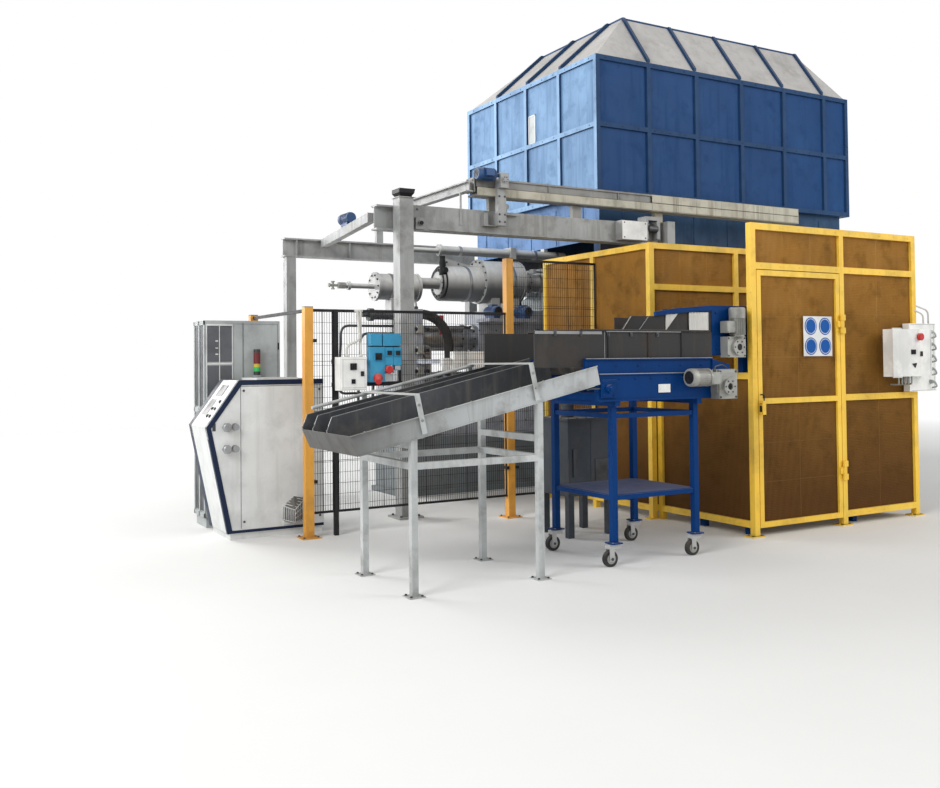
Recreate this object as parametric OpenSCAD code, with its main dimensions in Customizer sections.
// Cold chamber die casting machine with its fume hood, gantry, guards, conveyors and chute.
// Millimetres, +Z up. The origin is on the floor under the middle of the machine bed.
// +X runs along the machine from the shot end to the clamp end, and -Y is the operator side.

/* [Machine] */
// Height of the machine axis above the floor
axis_z = 2000; // [1950:10:2020]
// Width and height of the square platens
platen_size = 1800; // [1700:20:1820]
// Diameter of the four tie bars
tie_bar_d = 190; // [150:10:210]
// Spacing of the tie bars, centre to centre
tie_pitch = 1240; // [1160:20:1300]
// Diameter of the large accumulator
accumulator_d = 550; // [480:2:600]

/* [Fume hood] */
// Length of the hood
hood_length = 4560; // [4400:20:4700]
// Height of the upright hood walls
hood_wall_height = 1734; // [1500:10:1900]
// Rise of the flat-topped roof
roof_rise = 725; // [600:5:850]
// Width of the rib bars on the hood
rib_width = 60; // [40:5:80]

/* [Gantry] */
// Side of the square gantry front post
gantry_post_w = 160; // [120:10:180]
// Top of the long gantry beams
gantry_beam_top = 3273; // [3240:1:3290]

/* [Guards] */
// Side of the square guard tubes
guard_tube = 60; // [50:2:70]
// Top of the tall front guard
guard_top = 2840; // [2740:10:2900]
// Thickness of the screen wires
wire_t = 4; // [3:1:5]

/* [Conveyor and chute] */
// Height of the belt conveyor bed top
bed_top = 1619; // [1605:1:1630]
// Wheel diameter of the casters
caster_d = 125; // [100:5:130]
// Height of the chute side panels, square to the slope
chute_side = 146; // [120:2:160]

/* [Hidden] */
$fn = 48;
clear = 5;
running = 0.05;
seat = 0.3;

// Machine
bed_top_z = 700;
bed_x0 = -3300;
bed_step_x = -1100;
bed_x1 = 4300;
bed_half = 620;
bed_half_shot = 400;
platen_half = platen_size / 2;
fixed_x0 = -750;
fixed_x1 = -330;
moving_x0 = 700;
moving_x1 = 1080;
rear_x0 = 2850;
rear_x1 = 3240;
tie_half = tie_pitch / 2;
rod_r = 60;
knee_x = 2095;
knee_z = 430;
link_z = 320;
head_x = 2520;
shot_z = axis_z - 100;
shot_base_z = 1480;
upright_x0 = -2000;
upright_z = 2260;
acc_z = 2645;
acc_r = accumulator_d / 2;
drum_z = acc_z - 37;
drum_r = acc_r - 50;
left_acc_z = 2540;
pipe_z = max(axis_z + platen_half + 130, acc_z + acc_r + 102);
shelf_z = 2140;

// Hood
hood_x0 = -1034;
hood_x1 = hood_x0 + hood_length;
hood_y0 = -1300;
hood_y1 = 1843;
hood_z0 = 3675;
hood_z1 = hood_z0 + hood_wall_height;
hood_mid_z = hood_z0 + hood_wall_height / 2;
hood_bay = 817;
hood_bay_y = 786;
roof_left = 817;
roof_right = 452;
roof_near = 503;
roof_far = 665;
rib_out = 30;
rib_up = 26;
hood_sheet = 10;
skirt_z0 = 3120;
skirt_in = 70;
ring_t = 10;
column_w = 120;
column_in = skirt_in + 10;

// Gantry
front_y0 = -1700;
front_y1 = -1560;
rear_y0 = 460;
rear_y1 = 600;
gantry_left_x = -4025;
gantry_right_x = -376;
gantry_beam_h = 263;
rear_x_left = -4458;
rear_x_right = -1747;
rear_top = 3142;
rear_beam_h = 228;
cross_x = -3180;
cross_z0 = 3445;
cross_h = 110;
travel_x0 = -3072;
travel_x1 = 1971;
travel_z0 = gantry_beam_top + 144;
travel_h = 200;
plate_x0 = -2817;
plate_x1 = -2713;

// Guards
guard_y = -4570;
guard_x0 = -1829;
guard_x1 = 490;
guard_mid_x = -653;
wall_x = -1904;
inner_y = -3270;
inner_mid_x = -729;
inner_x1 = 400;
side_mid_y = -2330;
side_end_y = -1406;
guard_low_z = 1480;
guard_bar_mid = 1195;
guard_bar_high = 2420;
inner_bar_high = 2320;
guard_foot = 80;
hinge_x = guard_mid_x - 4;
hinge_y = guard_y - 20;
hinge_r = 14;
pin_r = 7;
door_t = 50;

// Fence
fence_y = -2360;
fence_x0 = -5220;
fence_xm = -4950;
fence_x2 = -3030;
fence_post = 80;
fence_z0 = 215;
fence_top = 2110;
fence_top_high = 2670;
carrier_t = 15;

// Belt conveyor
table_x0 = -3640;
table_x1 = -2795;
table_y0 = -4840;
table_y1 = -4060;
table_leg = 50;
upper_x0 = -3940;
upper_x1 = -2643;
lower_x0 = -3827;
lower_x1 = -2450;
beam_y0 = -4912;
side_y0 = -4900;
side_in0 = -4860;
side_in1 = -4150;
side_y1 = -4110;
beam_y1 = -4098;
upper_z0 = bed_top - 119;
lower_z0 = bed_top - 334;
belt_t = 8;
belt_r = 56;
belt_z = bed_top - 72;
belt_x0 = -3905;
belt_x1 = -2500;
caster_r = caster_d / 2;
caster_trail = 40;
caster_top = 175;

// Chute
chute_slope = 12.3;
chute_x0 = -5845;
chute_y0 = -4930;
chute_y1 = -4040;
chute_len = 2040;
chute_floor_len = chute_len - 150;
chute_nose = 50;
chute_low_top = 1129;
chute_t = 5;
divider_up = 97;
stand_tube = 48;
stand_xa = -5412;
stand_xb = -4372;

// Every node, in the order of the report

// Block between two corners
module block(x0, x1, y0, y1, z0, z1) {
  translate([x0, y0, z0])
    cube([x1 - x0, y1 - y0, z1 - z0]);
}

// Round bars along X, Y and Z
module bar_x(x0, x1, y, z, r) {
  translate([x0, y, z])
    rotate([0, 90, 0])
      cylinder(h = x1 - x0, r = r);
}

module bar_y(x, y0, y1, z, r) {
  translate([x, y0, z])
    rotate([-90, 0, 0])
      cylinder(h = y1 - y0, r = r);
}

module bar_z(x, y, z0, z1, r) {
  translate([x, y, z0])
    cylinder(h = z1 - z0, r = r);
}

// Square bar from point a to point b, w wide and h high
module strut(a, b, w, h) {
  d = b - a;
  len_xy = sqrt(d[0] * d[0] + d[1] * d[1]);
  translate(a)
    rotate([0, -atan2(d[2], len_xy), atan2(d[1], d[0])])
      translate([0, -w / 2, -h / 2])
        cube([norm(d), w, h]);
}

// Plate in the XZ plane between y0 and y1
module plate_xz(y0, y1, points) {
  translate([0, y1, 0])
    rotate([90, 0, 0])
      linear_extrude(y1 - y0)
        polygon(points);
}

// Machine bed, wide under the clamp and narrow under the shot end
module machine_bed() {
  color([0.42, 0.45, 0.46]) {
    difference() {
      block(bed_step_x, bed_x1, -bed_half, bed_half, 0, bed_top_z);
      for (x = [-900 : 860 : 3400])
        for (s = [-1, 1])
          block(x, x + 620, s * bed_half - 45, s * bed_half + 45, 150, 560);
    }
    block(bed_x0, bed_step_x, -bed_half_shot, bed_half_shot, 0, bed_top_z);
    block(bed_x0 - 40, bed_step_x, -bed_half_shot - 40, bed_half_shot + 40, 0, 60);
  }
}

// Corner holes of a platen
module tie_holes(x0, x1) {
  for (sy = [-1, 1])
    for (sz = [-1, 1])
      bar_x(x0 - 1, x1 + 1, sy * tie_half, axis_z + sz * tie_half, tie_bar_d / 2 + running);
}

// Square platen with its foot and side recesses
module platen(x0, x1) {
  difference() {
    union() {
      block(x0, x1, -platen_half, platen_half, axis_z - platen_half, axis_z + platen_half);
      block(x0, x1, -platen_half + 300, platen_half - 300, bed_top_z, axis_z - platen_half + 1);
    }
    tie_holes(x0, x1);
    for (s = [-1, 1])
      block(x0 + 90, x1 - 90, s * platen_half - 60, s * platen_half + 60, axis_z - 330,
        axis_z + 330);
  }
}

module fixed_platen() {
  color([0.42, 0.45, 0.46])
    platen(fixed_x0, fixed_x1);
}

module moving_platen() {
  color([0.42, 0.45, 0.46])
    platen(moving_x0, moving_x1);
}

// The rear platen also lets the closing rod through
module rear_platen() {
  color([0.42, 0.45, 0.46])
    difference() {
      platen(rear_x0, rear_x1);
      bar_x(rear_x0 - 1, rear_x1 + 1, 0, axis_z, rod_r + running);
    }
}

// Tie bars with their nuts
module tie_bars() {
  color([0.62, 0.63, 0.64])
    for (sy = [-1, 1])
      for (sz = [-1, 1]) {
        bar_x(fixed_x0 - 200, rear_x1 + 260, sy * tie_half, axis_z + sz * tie_half, tie_bar_d / 2);
        bar_x(fixed_x0 - 150, fixed_x0, sy * tie_half, axis_z + sz * tie_half, tie_bar_d * 0.75);
        bar_x(rear_x1, rear_x1 + 190, sy * tie_half, axis_z + sz * tie_half, tie_bar_d * 0.75);
      }
}

// One clevis: two cheeks on a platen face and the pin through them
module clevis(x0, x1, pin_x, y, z) {
  for (s = [-1, 1])
    block(x0, x1, y + s * 95 - 18, y + s * 95 + 18, z - 100, z + 100);
  bar_y(pin_x, y - 100, y + 100, z, 45);
}

// Toggle links between the rear platen and the moving platen, driven by the crosshead
module toggle_links() {
  pin_m = moving_x1 + 120;
  pin_r0 = rear_x0 - 120;
  color([0.34, 0.36, 0.38]) {
    for (sz = [-1, 1]) {
      for (y = [-310, 0, 310]) {
        clevis(moving_x1, pin_m + 70, pin_m, y, axis_z + sz * link_z);
        clevis(pin_r0 - 70, rear_x0, pin_r0, y, axis_z + sz * link_z);
        strut([pin_m, y, axis_z + sz * link_z], [knee_x, y, axis_z + sz * knee_z], 116, 150);
        strut([knee_x, y, axis_z + sz * knee_z], [pin_r0, y, axis_z + sz * link_z], 116, 150);
        bar_y(pin_m, y - 70, y + 70, axis_z + sz * link_z, 90);
        bar_y(knee_x, y - 70, y + 70, axis_z + sz * knee_z, 100);
        bar_y(pin_r0, y - 70, y + 70, axis_z + sz * link_z, 90);
      }
      bar_y(knee_x, -430, 430, axis_z + sz * knee_z, 50);
      for (y = [-155, 155])
        strut([head_x, y, axis_z + sz * 150], [knee_x, y, axis_z + sz * knee_z], 60, 90);
    }
    block(head_x - 60, head_x + 60, -400, 400, axis_z - 190, axis_z + 190);
  }
}

// Closing cylinder behind the rear platen, its rod runs to the crosshead
module closing_cylinder() {
  color([0.5, 0.52, 0.54]) {
    bar_x(rear_x1, rear_x1 + 950, 0, axis_z, 190);
    bar_x(rear_x1, rear_x1 + 90, 0, axis_z, 250);
    bar_x(rear_x1 + 860, rear_x1 + 950, 0, axis_z, 235);
    bar_x(head_x + 60, rear_x1, 0, axis_z, rod_r);
  }
}

module fixed_die() {
  color([0.33, 0.33, 0.34]) {
    block(fixed_x1, fixed_x1 + 150, -430, 430, axis_z - 430, axis_z + 430);
    block(fixed_x1 + 150, fixed_x1 + 430, -360, 360, axis_z - 360, axis_z + 360);
  }
}

module moving_die() {
  color([0.33, 0.33, 0.34]) {
    block(moving_x0 - 150, moving_x0, -430, 430, axis_z - 430, axis_z + 430);
    block(moving_x0 - 430, moving_x0 - 150, -360, 360, axis_z - 360, axis_z + 360);
  }
}

// Shot end frame: base, upright, side shelf, valve column and panel arm
module shot_frame() {
  color([0.52, 0.56, 0.6]) {
    block(bed_x0, fixed_x0, -330, 330, bed_top_z, shot_base_z);
    block(upright_x0, fixed_x0, -330, 330, shot_base_z, upright_z);
    block(-3220, -3100, -560, -330, bed_top_z, 2240);
    block(-2790, -2650, -570, -330, 1250, 1500);
    block(-2260, -1520, -700, -330, shelf_z - 40, shelf_z);
    plate_xz(-350, -330, [[-2200, 1700], [-1560, 1700], [-1560, shelf_z - 40], [-2200, shelf_z - 40]]);
    block(-3190, -3140, -1560, -560, 1590, 1640);
  }
}

// Shot cylinder with its tie flanges, saddle and end rings
module shot_cylinder() {
  color([0.66, 0.67, 0.68]) {
    bar_x(-3000, upright_x0, 0, shot_z, 145);
    bar_x(-3000, -2920, 0, shot_z, 190);
    bar_x(-2320, -2250, 0, shot_z, 185);
    bar_x(-2150, -2080, 0, shot_z, 185);
    block(-2920, -2780, -120, 120, shot_base_z, shot_z - 100);
    for (s = [-1, 1])
      for (z = [-130, 130])
        bar_x(-2900, -2300, s * 130, shot_z + z, 20);
  }
}

// Stepped accumulators in line above the shot frame
module accumulators() {
  color([0.72, 0.73, 0.74]) {
    bar_x(-2562, -1990, 0, drum_z, drum_r);
    bar_x(-2030, -1975, 0, acc_z, acc_r + 14);
    bar_x(-1990, -1420, 0, acc_z, acc_r);
    bar_x(-1450, -1420, 0, acc_z, acc_r + 12);
    bar_x(-1420, -926, 0, acc_z + 4, 118);
    bar_x(-1250, -1220, 0, acc_z + 4, 140);
    bar_x(-2600, -2562, 0, drum_z, 190);
    bar_z(-2590, -120, drum_z, drum_z + 335, 28);
    plate_xz(-12, 12, [[-2500, drum_z], [-2500, drum_z + 322], [-2080, drum_z + 232], [-2080, drum_z]]);
    bar_x(-2900, -2600, 0, left_acc_z + 60, 70);
    bar_x(-3485, -2900, 0, left_acc_z, 160);
    bar_x(-3485, -3450, 0, left_acc_z, 176);
    bar_x(-2935, -2900, 0, left_acc_z, 176);
    bar_x(-3860, -3485, 0, left_acc_z, 30);
    bar_x(-3830, -3800, 0, left_acc_z, 52);
    block(-1900, -1780, -170, 170, upright_z, acc_z - 150);
    block(-1560, -1480, -170, 170, upright_z, acc_z - 150);
    block(-3080, -2980, -90, 90, shot_z + 230, left_acc_z - 90);
    block(-3290, -3200, -90, 90, shot_base_z, left_acc_z - 90);
    block(-3290, -2980, -60, 60, shot_z + 230, shot_z + 290);
  }
}

// Long pipe above the accumulators, held by a clamp and by a stub on the fixed platen
module overhead_pipe() {
  rest_z = acc_z + 4 + sqrt(140 * 140 - 75 * 75) + seat;
  color([0.6, 0.61, 0.6]) {
    bar_x(-2559, -640, 0, pipe_z, 58);
    bar_x(-3150, -2559, 0, pipe_z - 10, 35);
    bar_x(-2590, -2550, 0, pipe_z, 74);
    bar_z(-640, 0, axis_z + platen_half, pipe_z, 56);
    difference() {
      block(-1546, -1466, -90, 90, acc_z, pipe_z + 76);
      bar_x(-1600, -1400, 0, acc_z, acc_r + seat);
    }
    difference() {
      block(-990, -930, -40, 40, pipe_z, skirt_z0);
      block(hood_x0 + skirt_in + hood_sheet + 1, -900, -50, 50, pipe_z + 90, skirt_z0 + 1);
    }
    for (y = [-150, -95])
      bar_x(-1250, -950, y, acc_z + 155, 16);
    for (x = [-1250, -1010])
      block(x, x + 40, -170, -75, rest_z, acc_z + 180);
  }
}

// Corrugated hose from the valve column down to the shot frame
module shot_hose() {
  color([0.08, 0.08, 0.08]) {
    bar_x(-3100, -3090, -500, 2181, 55);
    translate([-3093, -500, 1807])
      rotate([90, 0, 0])
        rotate_extrude(angle = 90)
          translate([374, 0])
            circle(r = 55);
    bar_z(-2719, -500, 1500, 1808, 55);
  }
}

// Small pump motors on the side shelf
module pump_motors() {
  color([0.12, 0.28, 0.5])
    for (x = [-2116, -1672]) {
      bar_y(x, -680, -420, shelf_z + 85, 62);
      block(x - 45, x + 45, -650, -450, shelf_z, shelf_z + 50);
      block(x - 40, x + 40, -600, -500, shelf_z + 130, shelf_z + 175);
    }
}

// Tank on four feet beside the conveyor
module hydraulic_tank() {
  color([0.34, 0.42, 0.4]) {
    block(-3250, -2748, -3700, -3250, 374, 1060);
    block(-3270, -2728, -3720, -3230, 1060, 1080);
    for (x = [-3250, -2808])
      for (y = [-3700, -3310])
        block(x, x + 60, y, y + 60, 0, 374);
    bar_z(-3100, -3480, 1080, 1190, 60);
    block(-2960, -2800, -3560, -3400, 1080, 1150);
  }
}

// Hood walls as sheets
module hood_panels() {
  color([0.13, 0.25, 0.42])
    difference() {
      block(hood_x0, hood_x1, hood_y0, hood_y1, hood_z0, hood_z1);
      block(hood_x0 + hood_sheet, hood_x1 - hood_sheet, hood_y0 + hood_sheet, hood_y1 - hood_sheet,
        hood_z0 - 1, hood_z1 + 1);
    }
}

// Rib bars that frame the hood panels
module hood_ribs() {
  w = rib_width;
  o = rib_out;
  color([0.1, 0.2, 0.36]) {
    for (z = [hood_z0, hood_mid_z - w / 2, hood_z1 - w])
      difference() {
        block(hood_x0 - o, hood_x1 + o, hood_y0 - o, hood_y1 + o, z, z + w);
        block(hood_x0, hood_x1, hood_y0, hood_y1, z - 1, z + w + 1);
      }
    for (x = [hood_x0 - o, for (i = [1 : 5]) hood_x0 + i * hood_bay - w / 2, hood_x1 + o - w]) {
      block(x, x + w, hood_y0 - o, hood_y0, hood_z0, hood_z1);
      block(x, x + w, hood_y1, hood_y1 + o, hood_z0, hood_z1);
    }
    for (y = [hood_y0 - o, for (i = [1 : 3]) hood_y0 + i * hood_bay_y - w / 2, hood_y1 + o - w]) {
      block(hood_x0 - o, hood_x0, y, y + w, hood_z0, hood_z1);
      block(hood_x1, hood_x1 + o, y, y + w, hood_z0, hood_z1);
    }
  }
}

// Solid flat-topped roof form, lifted by up
module roof_form(up) {
  z0 = hood_z1 + up;
  z1 = z0 + roof_rise;
  translate([0, 0, 0])
    intersection() {
      translate([hood_x0, 0, 0])
        rotate([90, 0, 90])
          linear_extrude(hood_length)
            polygon([[hood_y0, z0], [hood_y1, z0], [hood_y1 - roof_far, z1], [hood_y0 + roof_near, z1]]);
      translate([0, hood_y1, 0])
        rotate([90, 0, 0])
          linear_extrude(hood_y1 - hood_y0)
            polygon([[hood_x0, z0], [hood_x1, z0], [hood_x1 - roof_right, z1], [hood_x0 + roof_left, z1]]);
    }
}

module hood_roof() {
  color([0.78, 0.75, 0.7])
    difference() {
      roof_form(0);
      roof_form(-14);
    }
}

// Dark bars that lie on the roof slopes and round its flat top
module roof_ribs() {
  w = 50;
  xa = hood_x0 + roof_left;
  xb = hood_x1 - roof_right;
  ya = hood_y0 + roof_near;
  yb = hood_y1 - roof_far;
  zt = hood_z1 + roof_rise + rib_up + 1;
  color([0.1, 0.18, 0.3])
    intersection() {
      difference() {
        roof_form(rib_up);
        roof_form(0);
      }
      union() {
        for (i = [1 : 5]) {
          x = min(max(hood_x0 + i * hood_bay, xa + w / 2), xb - w / 2);
          block(x - w / 2, x + w / 2, hood_y0, ya + w, hood_z1, zt);
          block(x - w / 2, x + w / 2, yb - w, hood_y1, hood_z1, zt);
        }
        for (i = [1 : 3]) {
          y = min(max(hood_y0 + i * hood_bay_y, ya + w / 2), yb - w / 2);
          block(hood_x0, xa + w, y - w / 2, y + w / 2, hood_z1, zt);
          block(xb - w, hood_x1, y - w / 2, y + w / 2, hood_z1, zt);
        }
        difference() {
          block(xa, xb, ya, yb, hood_z1 + roof_rise - 60, zt);
          block(xa + w, xb - w, ya + w, yb - w, hood_z1 + roof_rise - 70, zt + 1);
        }
      }
    }
}

// Recessed skirt under the hood, with the ring that carries the walls
module hood_skirt() {
  s = skirt_in;
  t = hood_sheet;
  color([0.12, 0.24, 0.4]) {
    difference() {
      block(hood_x0 + s, hood_x1 - s, hood_y0 + s, hood_y1 - s, skirt_z0, hood_z0 + ring_t);
      block(hood_x0 + s + t, hood_x1 - s - t, hood_y0 + s + t, hood_y1 - s - t, skirt_z0 - 1,
        hood_z0 + ring_t + 1);
    }
    difference() {
      block(hood_x0 + t, hood_x1 - t, hood_y0 + t, hood_y1 - t, hood_z0, hood_z0 + ring_t);
      block(hood_x0 + s + 25, hood_x1 - s - 25, hood_y0 + s + 25, hood_y1 - s - 25, hood_z0 - 1,
        hood_z0 + ring_t + 1);
    }
  }
}

// Columns that carry the hood
module hood_columns() {
  c = column_w;
  s = column_in;
  color([0.1, 0.2, 0.36])
    for (x = [hood_x0 + s, hood_x1 - s - c])
      for (y = [hood_y0 + s, hood_y1 - s - c]) {
        block(x, x + c, y, y + c, 15, hood_z0);
        block(x - 60, x + c + 60, y - 60, y + c + 60, 0, 15);
      }
}

// Navy wall panels round the die space, open towards the guard
module die_enclosure() {
  s = skirt_in;
  t = hood_sheet;
  xa = hood_x0 + column_in;
  xb = hood_x1 - column_in;
  color([0.09, 0.15, 0.26]) {
    block(xa, 100, hood_y0 + s, hood_y0 + s + t, 1800, skirt_z0);
    block(hood_x1 - 1900, xb, hood_y0 + s, hood_y0 + s + t, 60, skirt_z0);
    block(xa, xb, hood_y1 - s - t, hood_y1 - s, 60, skirt_z0);
  }
}

// I-section along X between two end points
module i_beam_x(x0, x1, y0, y1, z0, z1, f, web) {
  yc = (y0 + y1) / 2;
  block(x0, x1, y0, y1, z0, z0 + f);
  block(x0, x1, y0, y1, z1 - f, z1);
  block(x0, x1, yc - web / 2, yc + web / 2, z0, z1);
}

// Gantry posts and long beams
module gantry_frame() {
  w = gantry_post_w;
  z1 = gantry_beam_top;
  z0 = z1 - gantry_beam_h;
  zr = rear_top - rear_beam_h;
  color([0.6, 0.6, 0.58]) {
    block(gantry_left_x, gantry_left_x + w, front_y0 - w, front_y0, 0, z1 + 46);
    translate([gantry_left_x + w / 2, front_y0 - w / 2, z1 + 46])
      rotate([0, 0, 45])
        cylinder(h = 46, r1 = 70, r2 = 120, $fn = 4);
    translate([gantry_left_x + w / 2, front_y0 - w / 2, z1 + 84])
      rotate([0, 0, 45])
        cylinder(h = 51, r = 110, $fn = 4);
    block(gantry_left_x - 60, gantry_left_x + w + 60, front_y0 - w - 60, front_y0 + 60, 0, 20);
    block(gantry_right_x, gantry_right_x + 120, front_y0 - 120, front_y0, 0, z1 + 27);
    block(gantry_left_x + w - 60, gantry_right_x + 120, front_y0, front_y1, z0, z1);
    i_beam_x(-4212, gantry_left_x + w - 60, front_y0, front_y1, z0 - 20, z1 - 22, 18, 16);
    for (x = [rear_x_left + 28, rear_x_right - 120]) {
      block(x, x + 120, rear_y0 + 10, rear_y0 + 130, 0, zr);
      block(x - 50, x + 170, rear_y0 - 20, rear_y0 + 180, 0, 20);
    }
    i_beam_x(rear_x_left, rear_x_right, rear_y0, rear_y1, zr, rear_top, 18, 16);
    block(-1079, -694, front_y0 - 120, front_y0, z1 - 233, z1 - 1);
    block(-694, -650, front_y0 - 90, front_y0, z1 - 200, z1 + 40);
    block(-512, -468, front_y0 - 90, front_y0, z1 - 200, z1 + 40);
    block(-694, -468, front_y0 - 90, front_y0 + 60, z1 + 27, z1 + 72);
  }
}

// Cross beams: the level one on blocks and the skew one lower down
module gantry_cross_beams() {
  z1 = gantry_beam_top;
  c = cross_x;
  h = cross_h;
  color([0.6, 0.6, 0.58]) {
    block(c - 45, c + 45, front_y0 - 140, rear_y1 - 70, cross_z0, cross_z0 + 14);
    block(c - 45, c + 45, front_y0 - 140, rear_y1 - 70, cross_z0 + h - 14, cross_z0 + h);
    block(c - 7, c + 7, front_y0 - 140, rear_y1 - 70, cross_z0, cross_z0 + h);
    block(c - 45, c - 25, front_y0 - 14, front_y0, z1 - 180, cross_z0);
    block(c - 45, c + 45, rear_y0 + 10, rear_y1 - 70, rear_top, cross_z0);
    intersection() {
      strut([-3924, rear_y0 + 200, 3086], [-4238, front_y1 - 200, 3134], 80, 100);
      block(-4400, -3700, front_y1, rear_y0, 2900, 3300);
    }
  }
}

// Travel beam with its end plate on the cross beam and its feet on the front beam
module travel_beam() {
  z0 = travel_z0;
  z1 = travel_z0 + travel_h;
  color([0.66, 0.65, 0.6]) {
    i_beam_x(travel_x0, travel_x1, front_y0 - 80, front_y0 + 80, z0, z1, 20, 14);
    block(travel_x0 - 18, travel_x0, front_y0 - 80, front_y0 + 80, cross_z0 + 10, z1);
    block(cross_x + 45, travel_x0, front_y0 - 60, front_y0 + 60, cross_z0 + 12, cross_z0 + cross_h);
    for (x = [-2790, -1650, -408])
      block(x - 60, x + 60, front_y0, front_y0 + 60, gantry_beam_top, z0);
    block(travel_x1 - 12, travel_x1, front_y0 - 80, front_y0 + 80, z0, z1);
    for (x = [-2100, -1100, 400, 1400])
      block(x, x + 10, front_y0 - 80, front_y0 + 80, z0, z1);
  }
}

// Carriage plate with its pulley, in front of the travel beam
module travel_carriage() {
  y = front_y0 - 80;
  z = travel_z0 + travel_h;
  top = gantry_beam_top;
  color([0.5, 0.5, 0.48]) {
    block(plate_x0, plate_x1, y - 60, y, top - 175, z + 10);
    block(plate_x0 + 20, plate_x1 - 20, y, front_y0, top - 170, top - 40);
    block(plate_x0, plate_x1, y - 120, y - 20, z - 110, z + 54);
    bar_y((plate_x0 + plate_x1) / 2, y - 140, y - 120, z - 22, 36);
    block(plate_x0 - 130, plate_x0 + 30, front_y0 - 60, front_y0, top - 175, top - 165);
    block(plate_x0 - 120, plate_x0 - 70, front_y0 - 40, front_y0, top - 165, top - 30);
    block(plate_x1, plate_x1 + 230, front_y0 - 50, front_y0 - 20, top - 40, top - 18);
    block(plate_x1 - 30, plate_x1 + 20, y, front_y0 - 20, top - 60, top - 18);
    block(plate_x1 + 44, plate_x1 + 68, front_y0 - 50, front_y0 - 20, top - 18, top + 40);
    bar_y(plate_x1 + 56, front_y0 - 64, front_y0 - 20, top + 50, 30);
  }
}

// Blue motors of the gantry
module gantry_motors() {
  y = front_y0 - 150;
  z = travel_z0 + travel_h;
  color([0.12, 0.28, 0.5]) {
    bar_x(-3091, plate_x0 - 50, y, z + 28, 62);
    bar_x(plate_x0 - 50, plate_x0, y, z + 28, 22);
    block(-3020, -2920, y - 100, y - 40, z, z + 70);
    bar_y(-4087, -740, -480, 3250, 58);
    block(-4125, -4050, -700, -520, 3163.3, 3215);
    block(cross_x - 40, cross_x + 40, -380, -180, cross_z0 + cross_h, cross_z0 + cross_h + 72);
  }
}

// Tall front guard frame with the fixed right bay and the hinge pins of the door
module guard_front_frame() {
  t = guard_tube;
  y0 = guard_y;
  y1 = guard_y + t;
  color([0.95, 0.78, 0.2]) {
    for (x = [guard_x0, guard_mid_x, guard_x1 - t]) {
      block(x, x + t, y0, y1, 12, guard_top);
      block(x - 40, x + t + 40, y0 - 20, y1 + 40, 0, 12);
    }
    for (z = [guard_foot, guard_bar_mid, guard_bar_high, guard_top - t])
      block(guard_mid_x, guard_x1, y0, y1, z, z + t);
    for (z = [guard_bar_high, guard_top - t])
      block(guard_x0, guard_mid_x, y0, y1, z, z + t);
    for (z = [500, 1900]) {
      bar_z(hinge_x, hinge_y, z - 60, z + 120, pin_r);
      for (k = [-60, 65]) {
        bar_z(hinge_x, hinge_y, z + k, z + k + 55, hinge_r);
        block(hinge_x, guard_mid_x + 45, hinge_y - 6, guard_y, z + k, z + k + 55);
      }
    }
  }
}

// Wire screen between two posts of an X run, with a few of its wires
module screen_x(x0, x1, y, z0, z1) {
  n = max(2, ceil((x1 - x0) / 520));
  m = max(2, ceil((z1 - z0) / 520));
  w = wire_t / 2;
  for (i = [1 : n - 1]) {
    x = x0 + i * (x1 - x0) / n;
    block(x - w, x + w, y - w, y + w, z0, z1);
  }
  for (j = [1 : m - 1]) {
    z = z0 + j * (z1 - z0) / m;
    block(x0, x1, y - w, y + w, z - w, z + w);
  }
}

module screen_y(y0, y1, x, z0, z1) {
  n = max(2, ceil((y1 - y0) / 520));
  m = max(2, ceil((z1 - z0) / 520));
  w = wire_t / 2;
  for (i = [1 : n - 1]) {
    y = y0 + i * (y1 - y0) / n;
    block(x - w, x + w, y - w, y + w, z0, z1);
  }
  for (j = [1 : m - 1]) {
    z = z0 + j * (z1 - z0) / m;
    block(x - w, x + w, y0, y1, z - w, z + w);
  }
}

module guard_front_screens() {
  t = guard_tube;
  yc = guard_y + t / 2;
  color([0.8, 0.6, 0.15]) {
    screen_x(guard_mid_x + t, guard_x1 - t, yc, guard_foot + t, guard_bar_mid);
    screen_x(guard_mid_x + t, guard_x1 - t, yc, guard_bar_mid + t, guard_bar_high);
    screen_x(guard_mid_x + t, guard_x1 - t, yc, guard_bar_high + t, guard_top - t);
    screen_x(guard_x0 + t, guard_mid_x, yc, guard_bar_high + t, guard_top - t);
  }
}

// Hinged access door in the left bay
module guard_door() {
  t = door_t;
  gap = 8;
  x0 = guard_x0 + guard_tube + gap;
  x1 = guard_mid_x - gap;
  y0 = guard_y;
  y1 = guard_y + t;
  z0 = guard_foot;
  z1 = guard_bar_high - gap;
  color([0.95, 0.78, 0.2]) {
    block(x0, x0 + t, y0, y1, z0, z1);
    block(x1 - t, x1, y0, y1, z0, z1);
    for (z = [z0, guard_bar_mid, z1 - t])
      block(x0, x1, y0, y1, z, z + t);
    screen_x(x0 + t, x1 - t, y0 + t / 2, z0 + t, guard_bar_mid);
    screen_x(x0 + t, x1 - t, y0 + t / 2, guard_bar_mid + t, z1 - t);
    for (z = [500, 1900])
      difference() {
        union() {
          bar_z(hinge_x, hinge_y, z, z + 60, hinge_r);
          block(x1 - 42, hinge_x, hinge_y + 2, guard_y, z, z + 60);
        }
        bar_z(hinge_x, hinge_y, z - 1, z + 61, pin_r + running);
      }
    block(x0 + 6, x0 + t - 6, y0 - 34, y0, 1100, 1124);
    block(x0 + 6, x0 + t - 6, y0 - 34, y0, 1202, 1226);
    block(x0 + 6, x0 + t - 6, y0 - 46, y0 - 34, 1100, 1226);
  }
}

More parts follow.
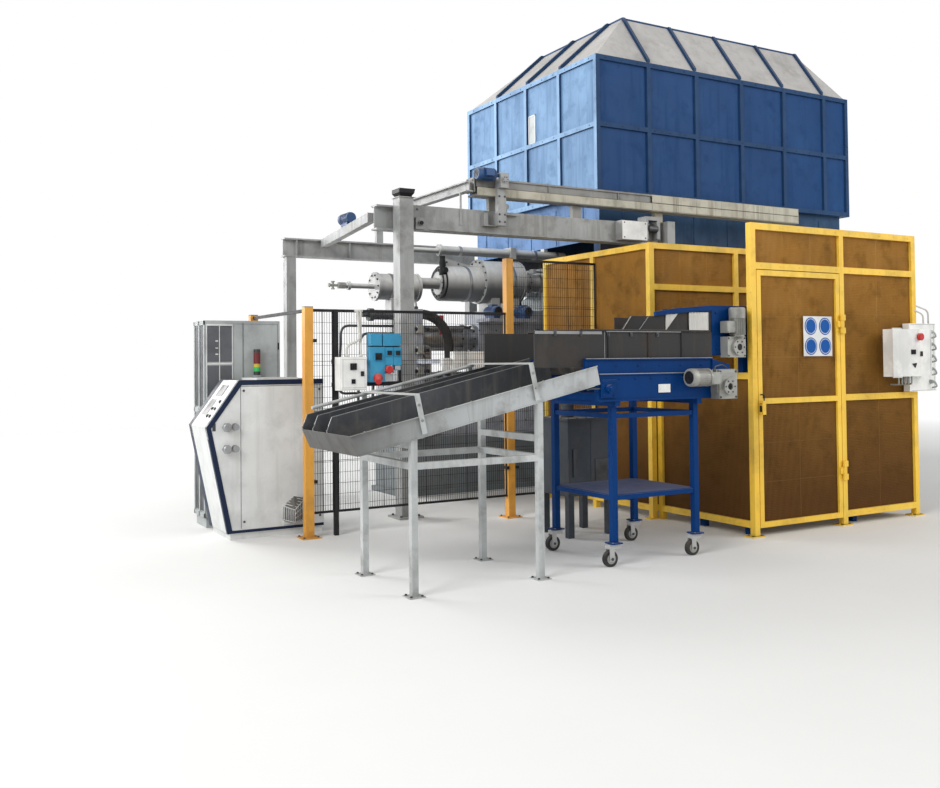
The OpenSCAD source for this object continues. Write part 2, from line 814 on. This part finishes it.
// Side walls, inner run and back run of the guard
module guard_side_frame() {
  t = guard_tube;
  top = guard_top - 40;
  color([0.95, 0.78, 0.2]) {
    for (y = [inner_y, side_mid_y, side_end_y])
      block(wall_x, wall_x + t, y, y + t, 0, top);
    for (z = [guard_foot, guard_bar_mid, top - t])
      block(wall_x, wall_x + t, inner_y, side_end_y + t, z, z + t);
    for (x = [inner_mid_x, inner_x1 - t])
      block(x, x + t, inner_y, inner_y + t, 0, top);
    for (z = [guard_foot, guard_bar_mid, inner_bar_high, top - t])
      block(wall_x, inner_x1, inner_y, inner_y + t, z, z + t);
    for (x = [guard_x0, inner_x1 - t]) {
      block(x, x + t, inner_y - t, inner_y, 0, guard_low_z);
      for (z = [guard_foot, guard_low_z - t])
        block(x, x + t, guard_y + t, inner_y, z, z + t);
    }
    for (z = [guard_foot, guard_bar_mid, top - t])
      block(wall_x, hood_x0 + column_in, side_end_y, side_end_y + t, z, z + t);
    block(hood_x0 + column_in - t, hood_x0 + column_in, side_end_y, side_end_y + t, 0, top);
    for (z = [1600, top - t])
      block(hood_x0 + column_in - t, hood_x0 + column_in, side_end_y + t, hood_y0 + skirt_in + 30,
        z, z + t);
  }
}

module guard_side_screens() {
  t = guard_tube;
  xc = wall_x + t / 2;
  top = guard_top - 40;
  yc = inner_y + t / 2;
  color([0.8, 0.6, 0.15]) {
    for (x = [guard_x0 + t / 2, inner_x1 - t / 2])
      screen_y(guard_y + t, inner_y - t, x, guard_foot + t, guard_low_z - t);
    for (y = [[inner_y + t, side_mid_y], [side_mid_y + t, side_end_y]]) {
      screen_y(y[0], y[1], xc, guard_foot + t, guard_bar_mid);
      screen_y(y[0], y[1], xc, guard_bar_mid + t, top - t);
    }
    for (x = [[wall_x + t, inner_mid_x], [inner_mid_x + t, inner_x1 - t]]) {
      screen_x(x[0], x[1], yc, guard_foot + t, guard_bar_mid);
      screen_x(x[0], x[1], yc, guard_bar_mid + t, inner_bar_high);
      screen_x(x[0], x[1], yc, inner_bar_high + t, top - t);
    }
    screen_x(wall_x + t, hood_x0 + column_in - t, side_end_y + t / 2, guard_foot + t, guard_bar_mid);
    screen_x(wall_x + t, hood_x0 + column_in - t, side_end_y + t / 2, guard_bar_mid + t, top - t);
  }
}

// Switch boxes on the right post of the guard
module guard_switch_boxes() {
  color([0.8, 0.8, 0.78]) {
    block(guard_x1 - 218, guard_x1 + 200, guard_y - 70, guard_y, 1261, 1945);
    block(guard_x1 - 617, guard_x1 - 20, guard_y - 180, guard_y - 70, 1416, 1882);
    block(guard_x1 - 627, guard_x1 - 490, guard_y - 190, guard_y - 180, 1406, 1892);
    bar_y(guard_x1 - 222, guard_y - 215, guard_y - 180, 1806, 32);
  }
}

// Black mesh fence at the shot end, with yellow posts
module fence_posts() {
  p = fence_post / 2;
  color([0.92, 0.62, 0.16]) {
    for (f = [[fence_x0, fence_y, fence_top + 15], [fence_x2, fence_y, fence_top_high],
      [fence_x0, -720, fence_top + 15]]) {
      block(f[0] - p, f[0] + p, f[1] - p, f[1] + p, 10, f[2]);
      block(f[0] - 90, f[0] + 90, f[1] - 90, f[1] + 90, 0, 10);
    }
  }
}

module fence_frame_x(x0, x1, y, z0, z1) {
  f = 12;
  block(x0, x0 + f, y - f / 2, y + f / 2, z0, z1);
  block(x1 - f, x1, y - f / 2, y + f / 2, z0, z1);
  block(x0, x1, y - f, y + f, z0, z0 + 20);
  block(x0, x1, y - f, y + f, z1 - 24, z1);
  screen_x(x0 + f, x1 - f, y, z0 + 20, z1 - 24);
}

// Fence panels, the black mid post, the carriers of the boxes and the rail over the cabinets
module fence_panels() {
  p = fence_post / 2;
  y0 = fence_y - 15;
  color([0.06, 0.06, 0.07]) {
    fence_frame_x(fence_x0 + p, fence_xm - 20, fence_y, fence_z0, fence_top);
    block(fence_xm - 20, fence_xm + 20, fence_y - 20, fence_y + 20, 0, fence_top);
    fence_frame_x(fence_xm + 20, fence_x2 - p, fence_y, fence_z0, fence_top);
    fence_frame_x(fence_x2 + p, wall_x, fence_y, fence_z0, fence_top_high);
    for (z = [1385, 1600])
      block(-4995, -4270, y0 - carrier_t, y0, z, z + 40);
    block(-4300, -4270, y0, fence_y - 1, 1385, 1640);
    block(fence_x0 - 15, fence_x0 + 15, fence_y + p, -720 - p, fence_top - 30, fence_top);
  }
}

// Belt conveyor bed: two side plates over two deeper beams, slider plate and rollers
module conveyor_bed() {
  color([0.07, 0.2, 0.47]) {
    for (y = [[side_y0, side_in0], [side_in1, side_y1]])
      block(upper_x0, upper_x1, y[0], y[1], upper_z0, bed_top);
    for (y = [[beam_y0, side_in0], [side_in1, beam_y1]]) {
      block(lower_x0, lower_x1, y[0], y[1], lower_z0, upper_z0);
      plate_xz(y[0], y[1], [[upper_x1, upper_z0], [lower_x1, upper_z0], [lower_x1, upper_z0 + 60],
        [upper_x1, bed_top - 15]]);
    }
    block(upper_x0, upper_x1, side_y0 - 14, side_y0, bed_top - 14, bed_top);
    block(lower_x0, -2795, beam_y0 - 10, beam_y0, upper_z0 - 12, upper_z0);
    block(lower_x0, -2795, beam_y0 - 10, beam_y0, lower_z0, lower_z0 + 12);
    block(belt_x0 + belt_r, belt_x1 - belt_r, side_in0, side_in1, belt_z - belt_r + belt_t,
      belt_z + belt_r - belt_t);
    for (x = [belt_x0 + belt_r, belt_x1 - belt_r])
      bar_y(x, side_in0, side_in1, belt_z, belt_r - belt_t - seat);
    for (x = [table_x0, table_x1])
      block(x - 40, x + 40, side_in0, side_in1, lower_z0, lower_z0 + 60);
    bar_y(-3740, beam_y0 - 22, beam_y0, lower_z0 + 100, 62);
    bar_y(-3740, beam_y0 - 40, beam_y0 - 22, lower_z0 + 100, 34);
    block(-3220, -3135, beam_y0 - 4, beam_y0, 1341, 1412);
  }
}

// The belt is one closed loop round the slider plate and the rollers
module conveyor_belt() {
  r = belt_r;
  t = belt_t;
  xa = belt_x0 + r;
  xb = belt_x1 - r;
  color([0.05, 0.05, 0.05])
    translate([0, side_in1 - 6, belt_z])
      rotate([90, 0, 0])
        linear_extrude(side_in1 - side_in0 - 12)
          difference() {
            union() {
              translate([xa, 0])
                circle(r = r);
              translate([xb, 0])
                circle(r = r);
              translate([xa, -r])
                square([xb - xa, 2 * r]);
            }
            union() {
              translate([xa, 0])
                circle(r = r - t);
              translate([xb, 0])
                circle(r = r - t);
              translate([xa, -r + t])
                square([xb - xa, 2 * r - 2 * t]);
            }
          }
}

// Table that carries the bed on casters
module conveyor_table() {
  g = table_leg / 2;
  zc = lower_z0 - 40;
  color([0.07, 0.18, 0.42]) {
    for (x = [table_x0, table_x1])
      for (y = [table_y0, table_y1])
        difference() {
          union() {
            block(x - g, x + g, y - g, y + g, caster_top + 10, zc);
            block(x - 50, x + 50, y - 50, y + 50, caster_top, caster_top + 10);
          }
          bar_z(x, y, caster_top - 1, caster_top + 60, 10 + running);
        }
    for (x = [table_x0, table_x1])
      block(x - g, x + g, beam_y0, table_y1 + g, zc, lower_z0);
    for (y = [table_y0, table_y1])
      for (z = [512, 1150])
        block(table_x0, table_x1, y - 18, y + 18, z, z + 36);
    for (x = [table_x0, table_x1])
      for (z = [512, 1150])
        block(x - 18, x + 18, table_y0, table_y1, z, z + 36);
    block(table_x0, table_x1, table_y0, table_y1, 548, 552);
  }
}

// Gear motor at the drive end of the belt
module conveyor_gearmotor() {
  y = beam_y0;
  color([0.75, 0.76, 0.76]) {
    block(-2666, -2467, y - 98, y, 1279, 1516);
    block(-2679, -2666, y - 86, y - 12, 1330, 1490);
    block(-2779, -2679, y - 88, y - 12, 1399, 1515);
    bar_x(-2953, -2779, y - 76, 1458, 66);
    bar_x(-2969, -2953, y - 76, 1458, 71);
    bar_x(-2790, -2774, y - 76, 1458, 74);
    block(-2786, -2682, y - 140, y - 88, 1401, 1501);
    difference() {
      bar_y(-2566, y - 124, y - 98, 1379, 66);
      bar_y(-2566, y - 125, y - 106, 1379, 28);
    }
  }
}

// Rubber boards on both sides of the belt and the flaps of the upper conveyor
module conveyor_boards() {
  t = 8;
  color([0.1, 0.1, 0.1]) {
    for (side = [-1, 1]) {
      y = (side < 0) ? -4870 : -4148;
      out = y + side * (t / 2 + 10);
      block(upper_x0, -2613, y - t / 2, y + t / 2, bed_top, bed_top + 211);
      block(-4385, upper_x0, y - t / 2, y + t / 2, bed_top - 66, bed_top + 211);
      bar_x(-3960, -2640, y + side * (t / 2 + 8), bed_top + 219, 8);
      for (x = [-3700, -3300, -2950])
        block(x, x + 8, min(y, out), max(y, out), bed_top, bed_top + 217);
    }
    plate_xz(-4444, -4438, [[-3228, 1849], [-3119, 1977], [-2856, 1981], [-2618, 2010], [-2204, 2040],
      [-2204, 1832]]);
    translate([0, 0, 1850])
      linear_extrude(130)
        polygon([[-2204, -3826], [-3040, -4130], [-3042, -4124], [-2206, -3818], [-2204, -3818]]);
  }
}

// Swivel fork of a caster: crown, kingpin, two cheeks and the axle
module caster_fork(x, y) {
  color([0.7, 0.71, 0.72])
    translate([x, y, 0]) {
      bar_z(0, 0, caster_top - 35, caster_top + 45, 10);
      bar_z(0, 0, caster_top - 20, caster_top - seat, 16);
      block(-caster_trail - 25, 40, -31, 31, caster_top - 35, caster_top - clear);
      for (s = [-1, 1])
        block(-caster_trail - 22, -caster_trail + 22, s * 28 - 3, s * 28 + 3, caster_r - 18,
          caster_top - 35);
      bar_y(-caster_trail, -38, 38, caster_r, 6);
    }
}

module caster_fork_1() {
  caster_fork(table_x0, table_y0);
}

module caster_fork_2() {
  caster_fork(table_x1, table_y0);
}

module caster_fork_3() {
  caster_fork(table_x0, table_y1);
}

module caster_fork_4() {
  caster_fork(table_x1, table_y1);
}

module caster_wheel(x, y) {
  color([0.06, 0.06, 0.06])
    translate([x - caster_trail, y, caster_r])
      rotate([90, 0, 0])
        difference() {
          translate([0, 0, -19])
            cylinder(h = 38, r = caster_r);
          translate([0, 0, -25])
            cylinder(h = 50, r = 6 + running);
        }
}

module caster_wheel_1() {
  caster_wheel(table_x0, table_y0);
}

module caster_wheel_2() {
  caster_wheel(table_x1, table_y0);
}

module caster_wheel_3() {
  caster_wheel(table_x0, table_y1);
}

module caster_wheel_4() {
  caster_wheel(table_x1, table_y1);
}

// Upper conveyor that comes out of the guard above the belt
module cross_conveyor() {
  ya = -4450;
  yb = -3800;
  color([0.07, 0.2, 0.47]) {
    block(-2204, -300, ya, ya + 30, 1644, 2085);
    block(-2204, -300, yb - 30, yb, 1644, 2085);
    block(-2180, -300, ya + 30, yb - 30, 1760, 1850);
    block(-2204, -2196, ya + 30, yb - 30, 1644, 1840);
    for (x = [-1769, -380])
      for (y = [ya, yb - 60])
        block(x, x + 60, y, y + 60, 0, 1644);
    block(guard_x0, -1769, ya, ya + 60, guard_low_z, 1644);
    plate_xz(ya - 14, ya + 16, [[-2856, 1981], [-2618, 2010], [-2204, 2040], [-2204, 2085],
      [-2618, 2052], [-2856, 2018]]);
  }
}

module cross_gearmotor() {
  y = -4450;
  color([0.75, 0.76, 0.76]) {
    block(-2100, -1880, y - 90, y, 1620, 1805);
    bar_z(-1967, y - 76, 1805, 1990, 62);
    bar_z(-1967, y - 76, 1968, 2061, 72);
    block(-2128, -2020, y - 110, y - 30, 1839, 1943);
    difference() {
      bar_y(-1974, y - 112, y - 90, 1711, 72);
      bar_y(-1974, y - 113, y - 100, 1711, 30);
    }
  }
}

// Sloping chute, drawn level and then tilted
module chute_place() {
  translate([chute_x0, 0, chute_low_top])
    rotate([0, -chute_slope, 0])
      children();
}

module chute_trough() {
  t = chute_t;
  h = chute_side;
  nose = chute_nose - 30;
  color([0.55, 0.56, 0.56])
    chute_place() {
      for (y = [chute_y0, chute_y1 - t])
        plate_xz(y, y + t, [[-chute_nose, 0], [-nose, -h], [chute_len, -h], [chute_len, 0]]);
      block(-nose, chute_floor_len, chute_y0, chute_y1, -h, -h + t);
      plate_xz(chute_y0, chute_y1, [[-chute_nose, 0], [-nose, -h], [t - nose, -h], [t - chute_nose, 0]]);
      block(-chute_nose, chute_len, chute_y0 - 12, chute_y0, -t, 0);
      block(chute_len - 80, chute_len - 10, chute_y0, side_y0, -70, -10);
      block(chute_len - 80, chute_len - 10, side_y1, chute_y1, -70, -10);
    }
}

// Lane dividers that stand above the side panels
module chute_dividers() {
  t = 4;
  h = chute_side;
  u = divider_up;
  high = chute_nose - chute_t - seat;
  low = high - 30 + 30 * chute_t / h;
  color([0.12, 0.12, 0.13])
    chute_place()
      for (y = [-4530, -4262, chute_y1 - chute_t - t / 2])
        plate_xz(y - t / 2, y + t / 2, [[-low, -h + chute_t], [-high, 0], [-high, 20], [60 - chute_nose, u],
          [chute_floor_len - 10, u], [chute_floor_len - 10, -h + chute_t]]);
}

// Hoops over the chute and the pole along its far side
module chute_hoops() {
  color([0.55, 0.56, 0.56])
    chute_place() {
      for (x = [471, 1429]) {
        block(x, x + 38, chute_y0 - 18, chute_y0 - 12, -chute_side + 22, 156);
        block(x, x + 38, chute_y1, chute_y1 + 6, -chute_side + 22, 156);
        block(x, x + 38, chute_y0 - 18, chute_y1 + 6, 150, 156);
      }
      bar_x(50, 1467, chute_y1 - 24, 138, 13);
    }
}

// Stand under the chute, its legs cut to the slope
module chute_stand() {
  g = stand_tube / 2;
  color([0.55, 0.56, 0.56])
    difference() {
      union() {
        for (x = [stand_xa, stand_xb]) {
          for (y = [chute_y0 + 30, chute_y1 - 30]) {
            block(x - g, x + g, y - g, y + g, 8, 1500);
            block(x - 60, x + 60, y - 60, y + 60, 0, 8);
          }
          for (z = [868, 1010])
            block(x - g, x + g, chute_y0 + 30, chute_y1 - 30, z, z + 2 * g);
        }
        for (y = [chute_y0 + 30, chute_y1 - 30])
          block(stand_xa, stand_xb, y - g, y + g, 868, 915);
      }
      chute_place()
        block(-300, 3200, chute_y0 - 200, chute_y1 + 200, -chute_side, 1500);
    }
}

// Water temperature unit behind the fence, with a sloping panel
module temperature_unit() {
  y0 = -2100;
  y1 = -1480;
  color([0.8, 0.82, 0.83]) {
    plate_xz(y0, y1, [[-5895, 60], [-6091, 1034], [-5785, 1454], [-4970, 1454], [-4970, 60]]);
    block(-5870, -4985, y0 + 15, y1 - 15, 0, 60);
    for (z = [834, 1032]) {
      bar_y(-5913, y0 - 40, y0, z, 26);
      bar_y(-5913, y0 - 60, y0 - 40, z, 36);
    }
    block(-5376, -5163, y0 - 10, y0, 103, 291);
    block(-5600, -5200, y0 + 60, y1 - 60, 1454, 1474);
  }
}

// Control cabinet with its stack light
module control_cabinet() {
  color([0.5, 0.52, 0.53]) {
    block(-5888, -5126, -1300, -900, 100, 2040);
    block(-5878, -5136, -1285, -915, 0, 100);
    for (x = [-5878, -5500])
      block(x, x + 360, -1312, -1300, 130, 2020);
    bar_z(-5382, -1352, 1494, 1757, 30);
    block(-5412, -5352, -1382, -1312, 1474, 1494);
  }
}

// Boxes on the fence and on the panel arm
module switch_boxes() {
  y1 = fence_y - 15 - carrier_t;
  color([0.86, 0.87, 0.87]) {
    block(-4966, -4696, y1 - 125, y1, 1350, 1661);
    block(-4954, -4708, y1 - 135, y1 - 125, 1362, 1649);
    block(-3284, -2873, -1660, -1560, 1532, 1719);
    block(-3411, -3320, -1640, -1560, 1557, 1649);
    block(-3320, -3284, -1600, -1560, 1590, 1640);
  }
}

// Socket panel beside the box on the fence
module socket_panel() {
  y1 = fence_y - 15 - carrier_t;
  color([0.1, 0.55, 0.82]) {
    block(-4640, -4312, y1 - 16, y1, 1578, 1886);
    block(-4640, -4490, y1 - 16, y1, 1421, 1578);
    block(-4640, -4490, y1 - 80, y1 - 16, 1421, 1755);
    block(-4486, -4402, y1 - 80, y1 - 16, 1580, 1752);
    block(-4398, -4312, y1 - 80, y1 - 16, 1580, 1752);
    block(-4636, -4520, y1 - 84, y1 - 16, 1766, 1884);
    block(-4508, -4316, y1 - 84, y1 - 16, 1764, 1880);
    block(-4600, -4520, y1 - 92, y1 - 80, 1625, 1703);
    for (x = [-4444, -4355])
      block(x - 31, x + 31, y1 - 90, y1 - 80, 1666, 1726);
    block(-4490, -4420, y1 - 70, y1 - 10, 1500, 1580);
    bar_y(-4455, y1 - 110, y1 - 70, 1540, 34);
    block(-4380, -4322, y1 - 70, y1 - 10, 1530, 1580);
  }
}

machine_bed();
fixed_platen();
moving_platen();
rear_platen();
tie_bars();
toggle_links();
closing_cylinder();
fixed_die();
moving_die();
shot_frame();
shot_cylinder();
accumulators();
overhead_pipe();
shot_hose();
pump_motors();
hydraulic_tank();
hood_panels();
hood_ribs();
hood_roof();
roof_ribs();
hood_skirt();
hood_columns();
die_enclosure();
gantry_frame();
gantry_cross_beams();
travel_beam();
travel_carriage();
gantry_motors();
guard_front_frame();
guard_front_screens();
guard_door();
guard_side_frame();
guard_side_screens();
guard_switch_boxes();
fence_posts();
fence_panels();
conveyor_bed();
conveyor_belt();
conveyor_table();
conveyor_gearmotor();
conveyor_boards();
caster_fork_1();
caster_fork_2();
caster_fork_3();
caster_fork_4();
caster_wheel_1();
caster_wheel_2();
caster_wheel_3();
caster_wheel_4();
cross_conveyor();
cross_gearmotor();
chute_trough();
chute_dividers();
chute_hoops();
chute_stand();
temperature_unit();
control_cabinet();
switch_boxes();
socket_panel();
